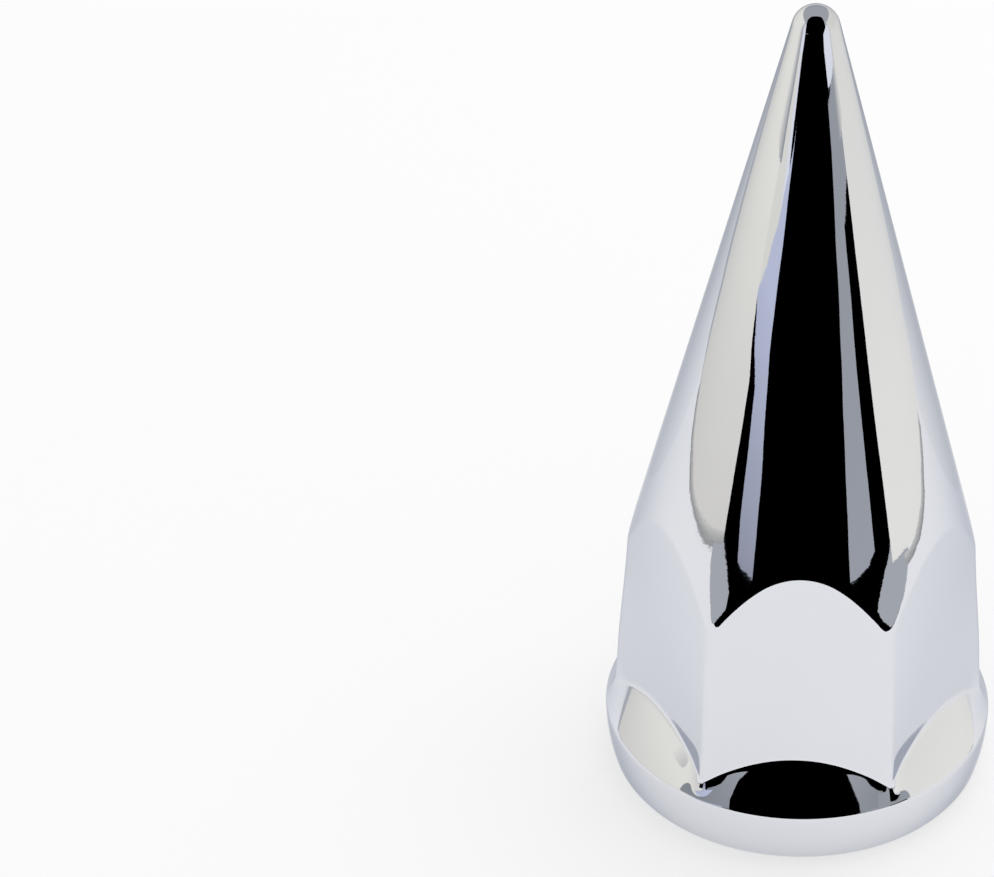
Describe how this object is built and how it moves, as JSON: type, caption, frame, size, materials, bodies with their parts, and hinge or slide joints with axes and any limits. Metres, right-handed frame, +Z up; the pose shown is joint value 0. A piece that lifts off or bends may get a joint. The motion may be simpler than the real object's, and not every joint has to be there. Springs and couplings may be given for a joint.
{
  "type": "lug nut cap",
  "caption": "Chrome push-on wheel nut cover: round flange, six-sided body and a tall pointed spike, open and hollow underneath.",
  "frame": {"origin": "centre of the open rim, on the plane that the cap stands on", "axes": "+Z up the axis from the rim to the tip; flats of the six-sided body face -Y and +Y, its corners point along +X and -X"},
  "size_m": [0.054, 0.054, 0.1207],
  "materials": {
    "chrome_shell": "bright chrome plate on moulded plastic, mirror smooth outside and inside"
  },
  "bodies": {
    "root": {"nut_cap": "chrome_shell"}
  },
  "joints": []
}
